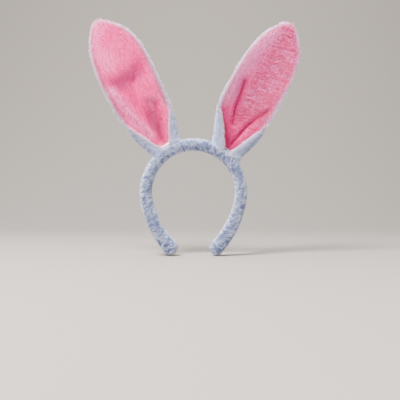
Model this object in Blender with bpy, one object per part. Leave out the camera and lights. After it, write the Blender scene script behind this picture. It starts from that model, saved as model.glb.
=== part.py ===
"""Animal ears headband: a padded plush hoop for the head, with two bendable plush ears.

Metres, +Z up. The origin is the underside of the hoop's crown, where the top of the head touches.
The hoop stands in the XZ plane, and the pink fronts of the ears face -Y.
Left and right are as seen from the front, so the left side is at -X.
"""
import math

import bmesh
import bpy
from mathutils import Vector

# ---- driving dimensions ------------------------------------------------------------------------

GAP = 0.0003                 # clearance between pieces that touch

BAND_WIDTH = 0.1356          # hoop, outside to outside
BAND_THICK = 0.0166          # sleeve, across from the head outwards
BAND_DEPTH = 0.0220          # sleeve, front to back
BAND_SWEEP = 102.0           # degrees of round hoop on each side of its top
LEG_RADIUS = 0.1200          # gentler curve of each leg below that
LEG_RUN = 0.0730             # length of that leg, to the end of its cap
LEG_THICK = 0.0200           # sleeve at the plumper end of a leg
CAP_LENGTH = 0.0070          # rounded plush cap that closes each leg
BAND_PLUSH = 0.0038          # thickness of the sleeve's plush

CORE_THICK = 0.0018          # springy plastic strip inside the padding
CORE_DEPTH = 0.0090
CORE_ROOM = 0.0007           # slack of the padding round the strip
CORE_SETBACK = 0.0060        # from the strip's end to the cap
SEAM_THICK = 0.0010          # closing seam along the sleeve

FLEX_SEAT = 64.0             # degrees from the top of the hoop to where a leg starts to flex
FLEX_OUT = 25.0              # degrees that a leg spreads; squeezing it in needs less room

EAR_PLUSH = 0.0030           # each ear panel, pile included
BASE_PINCH = 0.55            # how far the panels are squashed where the ear is gathered
PINCH_END = 0.35             # share of the ear's length where the panels are at full thickness
BACK_PLANE = 0.0105          # how far behind the hoop's middle the ears' backs lie
WIRE_WIDTH = 0.0014          # bendable wire round each ear, across
WIRE_ROOM = 0.0012           # room left round it between the panels
FOOT_LENGTH = 0.0200         # end of that wire, laid along the crown
THREAD_WIDTH = 0.0008        # stitching that holds the ear
HEM_THICK = 0.0012           # ear panels' turned-out hems on the crown
HEM_LENGTH = 0.0360

TILT_HEIGHT = 0.0022         # tilt axis above the crown's outer face
TILT_FRONT = 45.0            # degrees
TILT_BACK = 35.0
FOLD_SHARE = 0.52            # share of the ear's length where it folds
FOLD_FRONT = 75.0
FOLD_BACK = 15.0
JOINT_PLAY = 0.0008          # play left round a tilt or a fold

LEFT_SEAT, LEFT_LEAN = -31.5, -29.2      # degrees from the top of the hoop, and from upright
LEFT_LENGTH, LEFT_WIDTH = 0.1810, 0.0710
RIGHT_SEAT, RIGHT_LEAN = 36.0, 28.5
RIGHT_LENGTH, RIGHT_WIDTH = 0.1790, 0.0720

# Outline of an ear: share of its length, share of its width.
LEFT_OUTLINE = [(0.0, 0.60), (0.11, 0.79), (0.22, 0.92), (0.30, 0.97), (0.45, 0.99), (0.58, 1.0),
                (0.69, 0.97), (0.80, 0.86), (0.88, 0.68), (0.94, 0.47), (0.965, 0.36), (0.985, 0.25),
                (1.0, 0.12)]
RIGHT_OUTLINE = [(0.0, 0.60), (0.11, 0.80), (0.22, 0.95), (0.36, 1.0), (0.55, 0.995), (0.67, 0.965),
                 (0.78, 0.865), (0.84, 0.775), (0.88, 0.68), (0.93, 0.50), (0.95, 0.42), (0.975, 0.31),
                 (0.99, 0.22), (1.0, 0.12)]
# Curl of an ear: share of its length, radians from its middle line to its rim.
LEFT_CURL = [(0.0, 2.95), (0.03, 2.75), (0.15, 2.26), (0.22, 1.85), (0.27, 1.6), (0.34, 1.42),
             (0.45, 1.15), (0.60, 0.90), (0.80, 0.65), (1.0, 0.35)]
RIGHT_CURL = [(0.0, 2.95), (0.06, 2.67), (0.11, 2.5), (0.20, 2.16), (0.25, 1.84), (0.30, 1.62),
              (0.36, 1.45), (0.48, 1.2), (0.60, 0.95), (0.80, 0.60), (1.0, 0.30)]
# Hollow of an ear's front: share of its length, depth from its rim to its middle line.
LEFT_HOLLOW = [(0.0, 0.0090), (0.30, 0.0110), (0.45, 0.0130), (0.60, 0.0120), (0.80, 0.0080),
               (1.0, 0.0020)]
RIGHT_HOLLOW = [(0.0, 0.0090), (0.30, 0.0110), (0.45, 0.0110), (0.60, 0.0090), (0.80, 0.0055),
                (1.0, 0.0015)]
# Sway of an ear: share of its length, how far its middle line stands to the right of straight.
LEFT_SWAY = [(0.0, -0.0010), (0.11, -0.0020), (0.28, -0.0012), (0.55, 0.0010), (0.76, 0.0030),
             (0.86, 0.0026), (1.0, 0.0006)]
RIGHT_SWAY = [(0.0, 0.0006), (0.11, 0.0016), (0.28, -0.0004), (0.55, -0.0008), (0.84, -0.0004),
              (0.90, -0.0020), (1.0, -0.0022)]

# ---- values that follow from them --------------------------------------------------------------

BAND_RADIUS = (BAND_WIDTH - BAND_THICK) / 2
HOOP_CENTRE = Vector((0, 0, BAND_THICK / 2 - BAND_RADIUS))
ROUND_RUN = BAND_RADIUS * math.radians(BAND_SWEEP)
LEG_END = ROUND_RUN + LEG_RUN
SLEEVE_END = LEG_END - CAP_LENGTH
FLEX_RUN = BAND_RADIUS * math.radians(FLEX_SEAT)
FLEX_PLAY = BAND_THICK / 2 * math.tan(math.radians(FLEX_OUT / 2)) + JOINT_PLAY / 2
CORE_PLAY = CORE_THICK / 2 * math.tan(math.radians(FLEX_OUT / 2)) + GAP / 2
EAR_SPACE = WIRE_WIDTH + WIRE_ROOM        # between an ear's two panels

SIDES = 12                                # sides of the sleeve's section, flat at its back
CROWN_STEPS = 18
ARM_STEPS = 12
ACROSS = [-1, -0.9, -0.8, -0.6, -0.4, -0.2, 0, 0.2, 0.4, 0.6, 0.8, 0.9, 1]
WIRE_SHARE = 0.9                          # place of the wire from the middle line to the rim
BATTING_SHARE = 0.8
EAR_ROWS = 9
WIRE_SIDES = 6


# ---- shared helpers ----------------------------------------------------------------------------

def clear_scene():
    for item in list(bpy.data.objects):
        bpy.data.objects.remove(item, do_unlink=True)


def make_material(name, colour, roughness, metallic=0.0):
    finish = bpy.data.materials.new(name)
    finish.use_nodes = True
    shader = finish.node_tree.nodes["Principled BSDF"]
    shader.inputs["Base Color"].default_value = (*colour, 1)
    shader.inputs["Roughness"].default_value = roughness
    shader.inputs["Metallic"].default_value = metallic
    return finish


def make_body(name, pivot, parent=None):
    """Empty on a joint's axis, which carries the pieces that move together."""
    empty = bpy.data.objects.new(name, None)
    bpy.context.scene.collection.objects.link(empty)
    empty["pivot"] = list(pivot)
    empty.parent = parent
    empty.location = pivot - (Vector(parent["pivot"]) if parent else Vector())
    return empty


def add_piece(name, points, faces, colour, body):
    """One closed solid, its points given in the world, carried by a body's empty."""
    pivot = Vector(body["pivot"])
    mesh = bpy.data.meshes.new(name)
    mesh.from_pydata([Vector(point) - pivot for point in points], [], faces)
    shell = bmesh.new()
    shell.from_mesh(mesh)
    bmesh.ops.recalc_face_normals(shell, faces=shell.faces)
    bmesh.ops.triangulate(shell, faces=shell.faces)
    shell.to_mesh(mesh)
    shell.free()
    mesh.shade_smooth()
    mesh.set_sharp_from_angle(angle=math.radians(50))
    piece = bpy.data.objects.new(name, mesh)
    piece.parent = body
    mesh.materials.append(colour)
    bpy.context.scene.collection.objects.link(piece)
    return piece


def smooth_value(stations, share):
    """Value at a share of the length, on a smooth curve through the stations."""
    slopes = [(b[1] - a[1]) / (b[0] - a[0]) for a, b in zip(stations, stations[1:])]
    tangents = [slopes[0]]
    for before, after in zip(slopes, slopes[1:]):
        tangents.append((before + after) / 2 if before * after > 0 else 0.0)
    tangents.append(slopes[-1])
    share = min(max(share, stations[0][0]), stations[-1][0])
    place = next(i for i in range(len(slopes)) if share <= stations[i + 1][0])
    (x0, y0), (x1, y1) = stations[place], stations[place + 1]
    step = x1 - x0
    t = (share - x0) / step
    return ((2 * t**3 - 3 * t**2 + 1) * y0 + (t**3 - 2 * t**2 + t) * step * tangents[place]
            + (3 * t**2 - 2 * t**3) * y1 + (t**3 - t**2) * step * tangents[place + 1])


def join_rings(rings, closed=False):
    """Side faces between equal rings, each ring being a count of points in order."""
    count = len(rings[0])
    pairs = list(zip(rings, rings[1:]))
    if closed:
        pairs.append((rings[-1], rings[0]))
    return [(low[k], low[(k + 1) % count], high[(k + 1) % count], high[k])
            for low, high in pairs for k in range(count)]


def numbered(rings):
    """Points of all rings in one list, and each ring as numbers into it."""
    points = [point for ring in rings for point in ring]
    count = len(rings[0])
    return points, [list(range(i * count, (i + 1) * count)) for i in range(len(rings))]


def add_solid(name, rings, colour, body):
    points, numbers = numbered(rings)
    faces = join_rings(numbers) + [tuple(numbers[0]), tuple(numbers[-1])]
    return add_piece(name, points, faces, colour, body)


def add_pipe(name, outer, inner, colour, body):
    points, numbers = numbered(outer + inner)
    outside, inside = numbers[:len(outer)], numbers[len(outer):]
    faces = join_rings(outside) + join_rings(inside)
    faces += join_rings([outside[0], inside[0]]) + join_rings([outside[-1], inside[-1]])
    return add_piece(name, points, faces, colour, body)


def add_tube(name, path, width, colour, body, closed=False):
    """Round wire or thread along a path."""
    count = len(path)
    rings = []
    side = None
    for i, point in enumerate(path):
        before = path[i - 1] if (i or closed) else point
        after = path[(i + 1) % count] if (i < count - 1 or closed) else point
        ahead = (after - before).normalized()
        side = side or (Vector((0, 1, 0)) if abs(ahead.y) < 0.7 else Vector((0, 0, 1)))
        side = (side - ahead * side.dot(ahead)).normalized()
        other = ahead.cross(side)
        turns = [2 * math.pi * k / WIRE_SIDES for k in range(WIRE_SIDES)]
        rings.append([point + (side * math.cos(a) + other * math.sin(a)) * width / 2 for a in turns])
    if closed:
        points, numbers = numbered(rings)
        return add_piece(name, points, join_rings(numbers, closed=True), colour, body)
    return add_solid(name, rings, colour, body)


def add_slab(name, low, high, colour, body):
    """Closed sheet between two grids of points, row by row."""
    rows, columns = len(low), len(low[0])
    points = [point for grid in (low, high) for row in grid for point in row]
    half = rows * columns
    faces = []
    for r in range(rows - 1):
        for c in range(columns - 1):
            corner = r * columns + c
            cell = (corner, corner + 1, corner + columns + 1, corner + columns)
            faces += [cell, tuple(half + n for n in cell)]
    border = ([c for c in range(columns)]
              + [r * columns + columns - 1 for r in range(1, rows)]
              + [(rows - 1) * columns + c for c in range(columns - 2, -1, -1)]
              + [r * columns for r in range(rows - 2, 0, -1)])
    for a, b in zip(border, border[1:] + border[:1]):
        faces.append((a, b, half + b, half + a))
    return add_piece(name, points, faces, colour, body)


# ---- hoop --------------------------------------------------------------------------------------

def hoop_at(run):
    """Middle of the sleeve and its outward direction at a run from the crown, left negative."""
    side = -1 if run < 0 else 1
    centre, radius, turned = HOOP_CENTRE, BAND_RADIUS, abs(run) / BAND_RADIUS
    if abs(run) > ROUND_RUN:
        corner = math.radians(BAND_SWEEP)
        back = Vector((side * math.sin(corner), 0, math.cos(corner)))
        centre = HOOP_CENTRE - back * (LEG_RADIUS - BAND_RADIUS)
        radius, turned = LEG_RADIUS, corner + (abs(run) - ROUND_RUN) / LEG_RADIUS
    outward = Vector((side * math.sin(turned), 0, math.cos(turned)))
    return centre + outward * radius, outward


def corner_at(number, half_thick, half_depth):
    """Corner of the section, whose flat sides stand square to the head and to the back."""
    angle = 2 * math.pi * (number + 0.5) / SIDES
    scale = 1 / math.cos(math.pi / SIDES)
    return half_thick * scale * math.cos(angle), half_depth * scale * math.sin(angle)


def swell_at(run):
    """Extra half thickness of the sleeve, which grows plumper down each leg."""
    share = min(max((abs(run) - ROUND_RUN) / (SLEEVE_END - ROUND_RUN), 0), 1)
    return (LEG_THICK - BAND_THICK) / 2 * share


def hoop_ring(run, half_thick, half_depth, shrink=1.0):
    centre, outward = hoop_at(run)
    corners = [corner_at(k, half_thick * shrink, half_depth * shrink) for k in range(SIDES)]
    return [centre + outward * out + Vector((0, back, 0)) for out, back in corners]


def hoop_rings(start, end, steps, half_thick, half_depth, swells=True):
    runs = [start + (end - start) * i / steps for i in range(steps + 1)]
    return [hoop_ring(run, half_thick + swells * swell_at(run), half_depth) for run in runs]


def add_hoop_part(part, body, start, end, steps, play, core_play, core_end, materials):
    """Sleeve, padding, core and closing seam of one stretch of the hoop.

    start and end are runs from the crown; play is left at each end that meets another body.
    """
    toward = 1 if end > start else -1
    low, high = start + toward * play, end - toward * (play if core_end is None else 0)
    core_low = start + toward * core_play
    core_high = end - toward * core_play if core_end is None else core_end
    thick, depth = BAND_THICK / 2, BAND_DEPTH / 2
    lined, lined_depth = thick - BAND_PLUSH, depth - BAND_PLUSH
    core, core_depth = CORE_THICK / 2, CORE_DEPTH / 2
    add_pipe("sleeve_" + part, hoop_rings(low, high, steps, thick, depth),
             hoop_rings(low, high, steps, lined, lined_depth), materials["white_plush"], body)
    add_pipe("padding_" + part, hoop_rings(low, high, steps, lined - GAP, lined_depth - GAP),
             hoop_rings(low, high, steps, core + CORE_ROOM, core_depth + CORE_ROOM, False),
             materials["foam"], body)
    add_solid("core_" + part, hoop_rings(core_low, core_high, steps, core, core_depth, False),
              materials["core_plastic"], body)
    add_tube("sleeve_seam_" + part, seam_path(low, high, steps), SEAM_THICK,
             materials["thread"], body)


def seam_path(start, end, steps):
    """Line along the sleeve's inner back corner, just off its plush."""
    inner_corner = SIDES // 2 - 2
    clear = SEAM_THICK / 2 + GAP
    path = []
    for i in range(steps + 1):
        run = start + (end - start) * i / steps
        centre, outward = hoop_at(run)
        half_thick = BAND_THICK / 2 + swell_at(run)
        out, back = corner_at(inner_corner, half_thick + clear, BAND_DEPTH / 2 + clear)
        path.append(centre + outward * out + Vector((0, back, 0)))
    return path


def add_tip_cap(part, side, materials, body):
    """Rounded end of a leg, sewn to the open end of its sleeve."""
    turns = [math.radians(a) for a in (0, 25, 50, 70)]
    reach = CAP_LENGTH - GAP
    rings = [hoop_ring(side * (SLEEVE_END + GAP + reach * math.sin(a) / math.sin(turns[-1])),
                       LEG_THICK / 2, BAND_DEPTH / 2, math.cos(a)) for a in turns]
    add_solid("tip_cap_" + part, rings, materials["white_plush"], body)


# ---- ears --------------------------------------------------------------------------------------

class Ear:
    """Shape of one ear. s runs along it from the crown's outer face, across from -1 to 1 between
    its rims, and level from 0 on the pink face outwards to the white one."""

    def __init__(self, seat, lean, length, width, outline, curl, hollow, sway):
        self.length, self.width = length, width
        self.outline, self.curl, self.hollow, self.sway = outline, curl, hollow, sway
        self.seat = math.radians(seat)
        outward = Vector((math.sin(self.seat), 0, math.cos(self.seat)))
        self.base = HOOP_CENTRE + outward * (BAND_RADIUS + BAND_THICK / 2)
        lean = math.radians(lean)
        self.up = Vector((math.sin(lean), 0, math.cos(lean)))
        self.right = Vector((math.cos(lean), 0, -math.sin(lean)))
        self.fold_run = FOLD_SHARE * length
        self.fold_y = self.point(self.fold_run, WIRE_SHARE, self.levels(self.fold_run)[3] / 2).y

    def levels(self, s):
        """Pink face, back of the front panel, front of the back panel, white face."""
        grown = min(s / (PINCH_END * self.length), 1)
        panel = EAR_PLUSH * (BASE_PINCH + (1 - BASE_PINCH) * grown)
        return 0, panel, panel + EAR_SPACE, 2 * panel + EAR_SPACE

    def point(self, s, across, level):
        share = s / self.length
        curl = smooth_value(self.curl, share)
        total = self.levels(s)[3]
        radius_y = smooth_value(self.hollow, share) / (1 - math.cos(curl))
        reach = math.sin(min(curl, math.pi / 2))
        half = smooth_value(self.outline, share) * self.width / 2
        radius_x = max(half - total * reach, half / 4) / reach
        turn = across * curl
        out_x, out_y = math.sin(turn) / radius_x, math.cos(turn) / radius_y
        norm = math.hypot(out_x, out_y)
        x = radius_x * math.sin(turn) + level * out_x / norm
        y = BACK_PLANE - total - radius_y * (1 - math.cos(turn)) + level * out_y / norm
        x += smooth_value(self.sway, share)
        return self.base + self.up * s + self.right * x + Vector((0, y, 0))

    def span_y(self, s, across):
        ends = [self.point(s, across, level).y for level in (0, self.levels(s)[3])]
        return min(ends), max(ends)

    def bottom(self, across):
        """Lowest s of the tilting part, which leaves it room to tilt both ways."""
        front, back = self.span_y(TILT_HEIGHT, across)
        room = max(-front * math.tan(math.radians(TILT_FRONT)),
                   back * math.tan(math.radians(TILT_BACK)), 0)
        return TILT_HEIGHT + JOINT_PLAY + room

    def fold_room(self, across):
        """Setback of each part from the fold, which leaves it room to fold both ways."""
        front, back = self.span_y(self.fold_run, across)
        return JOINT_PLAY + max((self.fold_y - front) * math.tan(math.radians(FOLD_FRONT / 2)),
                                (back - self.fold_y) * math.tan(math.radians(FOLD_BACK / 2)), 0)

    def rows(self, upper):
        """For each row, the s of each column from rim to rim."""
        steps = [i / (EAR_ROWS - 1) for i in range(EAR_ROWS)]
        if upper:
            starts = [self.fold_run + self.fold_room(a) for a in ACROSS]
            steps = [math.sin(t * math.pi / 2) for t in steps]
            return [[low + (self.length - low) * t for low in starts] for t in steps]
        ends = [self.fold_run - self.fold_room(a) for a in ACROSS]
        starts = [self.bottom(a) for a in ACROSS]
        return [[low + (high - low) * t for low, high in zip(starts, ends)] for t in steps]

    def sheet(self, upper, lift):
        """Grid of points; lift gives the level from the four levels and whether it is the rim."""
        grid = []
        for r, row in enumerate(self.rows(upper)):
            tip = upper and r == EAR_ROWS - 1
            grid.append([self.point(s, a, lift(self.levels(s), tip or abs(a) == 1))
                         for s, a in zip(row, ACROSS)])
        return grid

    def wire_rows(self, upper, side):
        column = ACROSS.index(side * WIRE_SHARE)
        return [self.point(row[column], side * WIRE_SHARE, self.levels(row[column])[3] / 2)
                for row in self.rows(upper)]


def front_low(levels, rim):
    return levels[1] / 4 if rim else levels[0]


def front_high(levels, rim):
    return levels[3] / 2 - GAP / 2 if rim else levels[1]


def back_low(levels, rim):
    return levels[3] / 2 + GAP / 2 if rim else levels[2]


def back_high(levels, rim):
    return levels[3] - levels[1] / 4 if rim else levels[3]


def add_panels(ear, part, upper, materials, body):
    """Pink front panel, white back panel and the batting between them."""
    add_slab("front_" + part, ear.sheet(upper, front_low), ear.sheet(upper, front_high),
             materials["pink_plush"], body)
    add_slab("back_" + part, ear.sheet(upper, back_low), ear.sheet(upper, back_high),
             materials["white_plush"], body)
    kept = [c for c, a in enumerate(ACROSS) if abs(a) <= BATTING_SHARE]
    last = EAR_ROWS - 3 if upper else EAR_ROWS
    faces = []
    for lift in (lambda levels, rim: levels[1] + GAP, lambda levels, rim: levels[2] - GAP):
        faces.append([[row[c] for c in kept] for row in ear.sheet(upper, lift)[:last]])
    add_slab("batting_" + part, faces[0], faces[1], materials["batting"], body)


def add_lower_wires(ear, part, materials, body):
    for side in (-1, 1):
        place = "outer" if side * ear.seat > 0 else "inner"
        add_tube("wire_{}_{}".format(place, part), ear.wire_rows(False, side), WIRE_WIDTH,
                 materials["wire"], body)


def add_upper_wire(ear, part, materials, body):
    """Top of the wire, up one rim, over below the tip and down the other."""
    turn_row = EAR_ROWS - 3
    rise = ear.wire_rows(True, -1)[:turn_row]
    fall = ear.wire_rows(True, 1)[:turn_row]
    over = ear.rows(True)[turn_row]
    top = [ear.point(s, a, ear.levels(s)[3] / 2)
           for s, a in zip(over, ACROSS) if abs(a) <= BATTING_SHARE]
    add_tube("wire_" + part, rise + top + fall[::-1], WIRE_WIDTH, materials["wire"], body)


def add_crown_fixings(ear, name, materials, body):
    """Hems, wire foot and stitching that hold an ear on top of the sleeve."""
    middle = BAND_RADIUS * ear.seat
    for side, corners in (("front", (SIDES - 1, SIDES - 2)), ("back", (0, 1))):
        rings = []
        for i in range(7):
            centre, outward = hoop_at(middle + HEM_LENGTH * (i / 6 - 0.5))
            ring = []
            for lift, order in ((GAP, corners), (GAP + HEM_THICK, corners[::-1])):
                for number in order:
                    out, back = corner_at(number, BAND_THICK / 2 + lift, BAND_DEPTH / 2 + lift)
                    ring.append(centre + outward * out + Vector((0, back, 0)))
            rings.append(ring)
        add_solid("hem_{}_{}".format(side, name), rings, materials["white_plush"], body)
    foot = [on_crown(middle + FOOT_LENGTH * (i / 6 - 0.5), 0, WIRE_WIDTH) for i in range(7)]
    add_tube("wire_foot_" + name, foot, WIRE_WIDTH, materials["wire"], body)
    add_tube("stitching_" + name, stitch_path(middle), THREAD_WIDTH, materials["thread"], body,
             closed=True)


def on_crown(run, back, width):
    """Point of a wire or thread that lies on the sleeve's outer face."""
    centre, outward = hoop_at(run)
    return centre + outward * (BAND_THICK / 2 + GAP + width / 2) + Vector((0, back, 0))


def stitch_path(middle):
    """Loop of thread round the wire's foot."""
    aside = WIRE_WIDTH / 2 + THREAD_WIDTH / 2 + 3 * GAP
    half = FOOT_LENGTH / 2 + GAP
    path = []
    for end in (1, -1):
        for i in range(7):
            run = middle + end * half * (i / 3 - 1)
            path.append(on_crown(run, -end * aside, THREAD_WIDTH))
        for angle in (-30, 30):
            turn = math.radians(angle)
            run = middle + end * (half + aside * math.cos(turn))
            path.append(on_crown(run, end * aside * math.sin(turn), THREAD_WIDTH))
    return path


# ---- assembly ----------------------------------------------------------------------------------

def make_materials():
    return {
        "white_plush": make_material("white_plush", (0.80, 0.82, 0.90), 0.95),
        "pink_plush": make_material("pink_plush", (0.85, 0.22, 0.40), 0.95),
        "foam": make_material("foam", (0.78, 0.78, 0.72), 0.9),
        "batting": make_material("batting", (0.85, 0.85, 0.85), 0.95),
        "core_plastic": make_material("core_plastic", (0.80, 0.80, 0.82), 0.45),
        "wire": make_material("wire", (0.55, 0.56, 0.58), 0.35, 1.0),
        "thread": make_material("thread", (0.82, 0.83, 0.88), 0.8),
    }


def main():
    clear_scene()
    materials = make_materials()
    crown = make_body("crown", Vector((0, 0, 0)))
    add_hoop_part("crown", crown, -FLEX_RUN, FLEX_RUN, CROWN_STEPS, FLEX_PLAY, CORE_PLAY, None,
                  materials)
    for side, name in ((-1, "left_arm"), (1, "right_arm")):
        arm = make_body(name, hoop_at(side * FLEX_RUN)[0], crown)
        add_hoop_part(name, arm, side * FLEX_RUN, side * SLEEVE_END, ARM_STEPS, FLEX_PLAY,
                      CORE_PLAY, side * (SLEEVE_END - CORE_SETBACK), materials)
        add_tip_cap(name, side, materials, arm)
    shapes = {
        "left_ear": Ear(LEFT_SEAT, LEFT_LEAN, LEFT_LENGTH, LEFT_WIDTH, LEFT_OUTLINE, LEFT_CURL,
                        LEFT_HOLLOW, LEFT_SWAY),
        "right_ear": Ear(RIGHT_SEAT, RIGHT_LEAN, RIGHT_LENGTH, RIGHT_WIDTH, RIGHT_OUTLINE,
                         RIGHT_CURL, RIGHT_HOLLOW, RIGHT_SWAY),
    }
    for name, ear in shapes.items():
        add_crown_fixings(ear, name, materials, crown)
        lower = make_body(name + "_lower", ear.base + ear.up * TILT_HEIGHT, crown)
        add_panels(ear, name + "_lower", False, materials, lower)
        add_lower_wires(ear, name + "_lower", materials, lower)
        fold = ear.base + ear.up * ear.fold_run + Vector((0, ear.fold_y, 0))
        upper = make_body(name + "_upper", fold, lower)
        add_panels(ear, name + "_upper", True, materials, upper)
        add_upper_wire(ear, name + "_upper", materials, upper)


main()
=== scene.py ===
import math

import bpy
import numpy as np
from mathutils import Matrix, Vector


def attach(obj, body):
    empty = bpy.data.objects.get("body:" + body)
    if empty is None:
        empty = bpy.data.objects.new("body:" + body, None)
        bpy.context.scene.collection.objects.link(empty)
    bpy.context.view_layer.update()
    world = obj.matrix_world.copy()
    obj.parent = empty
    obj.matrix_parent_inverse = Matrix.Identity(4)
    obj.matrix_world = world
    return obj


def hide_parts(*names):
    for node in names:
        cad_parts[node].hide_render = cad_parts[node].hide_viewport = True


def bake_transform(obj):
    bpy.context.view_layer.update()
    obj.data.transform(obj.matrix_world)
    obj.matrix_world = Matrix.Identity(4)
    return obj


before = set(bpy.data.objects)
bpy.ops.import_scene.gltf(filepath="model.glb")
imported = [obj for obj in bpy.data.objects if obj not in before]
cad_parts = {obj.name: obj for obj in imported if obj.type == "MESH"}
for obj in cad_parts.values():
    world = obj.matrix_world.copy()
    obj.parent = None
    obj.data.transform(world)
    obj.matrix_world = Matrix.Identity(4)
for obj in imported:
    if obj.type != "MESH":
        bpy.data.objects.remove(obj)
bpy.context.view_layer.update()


# ---- Springy strip ----
# A flat white plastic strip runs through the whole hoop and grips the head.
# It is moulded in one colour, with a satin face and faint scuffs from the foam drawn over it.

def adder(tree):
    """Function that adds a node to a tree, with its settings and with its inputs, each a value
    or a link, by name or, as _0 and _1, by place."""
    def add(kind, settings=(), **inputs):
        node = tree.nodes.new(kind)
        for key, value in settings:
            setattr(node, key, value)
        for key, value in inputs.items():
            at = int(key[1:]) if key[1:].isdigit() else key.replace("_", " ")
            if isinstance(value, bpy.types.NodeSocket):
                tree.links.new(value, node.inputs[at])
            else:
                node.inputs[at].default_value = value
        return node
    return add


def new_finish(name, roughness, **sockets):
    """Principled material, its shader with the values that are the same all over, its adder."""
    finish = bpy.data.materials.new(name)
    finish.use_nodes = True
    shader = finish.node_tree.nodes["Principled BSDF"]
    shader.inputs["Roughness"].default_value = roughness
    for socket, value in sockets.items():
        shader.inputs[socket.replace("_", " ")].default_value = value
    return finish, shader, adder(finish.node_tree)


def colour_spots(given, dark, light, size, rough=None, raised=None):
    """Colour in soft spots of a size in metres, with spots of roughness and raised grain too."""
    finish, shader, add = given
    links = finish.node_tree.links
    place = add("ShaderNodeTexCoord").outputs["Object"]
    spots = add("ShaderNodeTexNoise", Vector=place, Scale=1 / size, Detail=4).outputs["Fac"]
    blend = add("ShaderNodeMix", [("data_type", "RGBA")], A=(*dark, 1), B=(*light, 1),
                Factor=spots)
    links.new(blend.outputs["Result"], shader.inputs["Base Color"])
    if rough:
        spread = add("ShaderNodeMapRange", To_Min=rough[0], To_Max=rough[1], Value=spots)
        links.new(spread.outputs["Result"], shader.inputs["Roughness"])
    if raised:
        grain = add("ShaderNodeTexNoise", Vector=place, Scale=1 / raised[0]).outputs["Fac"]
        bump = add("ShaderNodeBump", Distance=raised[1], Strength=0.7, Height=grain)
        links.new(bump.outputs["Normal"], shader.inputs["Normal"])
    return finish


strip_finish = colour_spots(new_finish("satin_strip", 0.4), (0.70, 0.70, 0.72), (0.82, 0.82, 0.84),
                            0.006, rough=(0.32, 0.5), raised=(0.0008, 0.00003))
for part in ("crown", "left_arm", "right_arm"):
    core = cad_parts["core_" + part]
    core.data.materials.clear()
    core.data.materials.append(strip_finish)


# ---- Foam wrap ----
# Thin soft foam is wrapped round the strip, so that the hoop is round and soft to the touch.
# It is one length on the real hoop; here it is in three lengths, one on the crown and one on each
# leg.

HOOP_RADIUS = 0.0595
HOOP_MIDDLE = -0.0512             # height of the round hoop's centre
ROUND_SWEEP = math.radians(102)
LEG_RADIUS = 0.1200
ROUND_RUN = HOOP_RADIUS * ROUND_SWEEP
SLEEVE_END = ROUND_RUN + 0.0660
FLEX_RUN = HOOP_RADIUS * math.radians(64)
FLEX_HALF = 0.0110                # half the stretch that bends when a leg spreads
BACKWARD = np.array([0.0, 1.0, 0.0])


def hoop_at(run):
    """Middle of the hoop and its outward direction, at runs from the top, left ones negative."""
    run = np.asarray(run, float)
    side, far = np.where(run < 0, -1.0, 1.0), np.abs(run)
    on_leg = far > ROUND_RUN
    turned = np.where(on_leg, ROUND_SWEEP + (far - ROUND_RUN) / LEG_RADIUS, far / HOOP_RADIUS)
    outward = np.stack([side * np.sin(turned), 0 * turned, np.cos(turned)], -1)
    corner = np.stack([side * math.sin(ROUND_SWEEP), 0 * turned,
                       math.cos(ROUND_SWEEP) + 0 * turned], -1)
    radius = np.where(on_leg, LEG_RADIUS, HOOP_RADIUS)[..., None]
    middle = np.array([0, 0, HOOP_MIDDLE]) - corner * (radius - HOOP_RADIUS)
    return middle + outward * radius, outward


def half_thickness(run):
    """From the middle of the sleeve to the tips of its pile, more towards the ends of the legs."""
    return 0.0083 + 0.0017 * np.clip((np.abs(run) - ROUND_RUN) / 0.066, 0, 1)


def round_hoop(run, around, thick, depth):
    """Points round the hoop; around is 0 on its outside and a quarter turn at its back."""
    middle, outward = hoop_at(run)
    out, back = thick * np.cos(around), depth * np.sin(around)
    return middle + outward * out[..., None] + BACKWARD * back[..., None]


def mesh_of(name, points, faces, finish, smooth=True):
    """Piece at the origin, with its place in its mesh."""
    mesh = bpy.data.meshes.new(name)
    mesh.from_pydata(np.asarray(points).reshape(-1, 3).tolist(), [], faces)
    mesh.update()
    if smooth:
        mesh.shade_smooth()
    piece = bpy.data.objects.new(name, mesh)
    bpy.context.scene.collection.objects.link(piece)
    if finish:
        mesh.materials.append(finish)
    return piece


def sheet_faces(rows, columns, ring=False, flip=False, first=0):
    """Faces of a sheet of points in rows, or of a tube where each row is a ring."""
    at = np.arange(rows * columns).reshape(rows, columns) + first
    if ring:
        at = np.concatenate([at, at[:, :1]], 1)
    cells = np.stack([at[:-1, :-1], at[:-1, 1:], at[1:, 1:], at[1:, :-1]], -1).reshape(-1, 4)
    return (cells[:, ::-1] if flip else cells).tolist()


def tube(name, runs, sides, outer, inner, finish):
    """Closed soft tube along the hoop; outer and inner give (thick, depth) at the runs."""
    run, around = np.meshgrid(runs, np.arange(sides) * 2 * math.pi / sides, indexing="ij")
    outside = round_hoop(run, around, *outer(run))
    inside = round_hoop(run, around, *inner(run))
    count = len(runs) * sides
    flip = bool(runs[-1] > runs[0])
    faces = sheet_faces(len(runs), sides, ring=True, flip=flip)
    faces += sheet_faces(len(runs), sides, ring=True, flip=not flip, first=count)
    for row, turned in ((0, not flip), (len(runs) - 1, flip)):
        for k in range(sides):
            a, b = row * sides + k, row * sides + (k + 1) % sides
            face = (a, b, b + count, a + count)
            faces.append(face[::-1] if turned else face)
    return mesh_of(name, [outside, inside], faces, finish)


def bend_with_leg(piece, part):
    """The crown's pieces ride on the crown; a leg's pieces keep their place in their mesh."""
    if part == "crown":
        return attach(piece, "crown")
    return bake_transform(piece)


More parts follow.
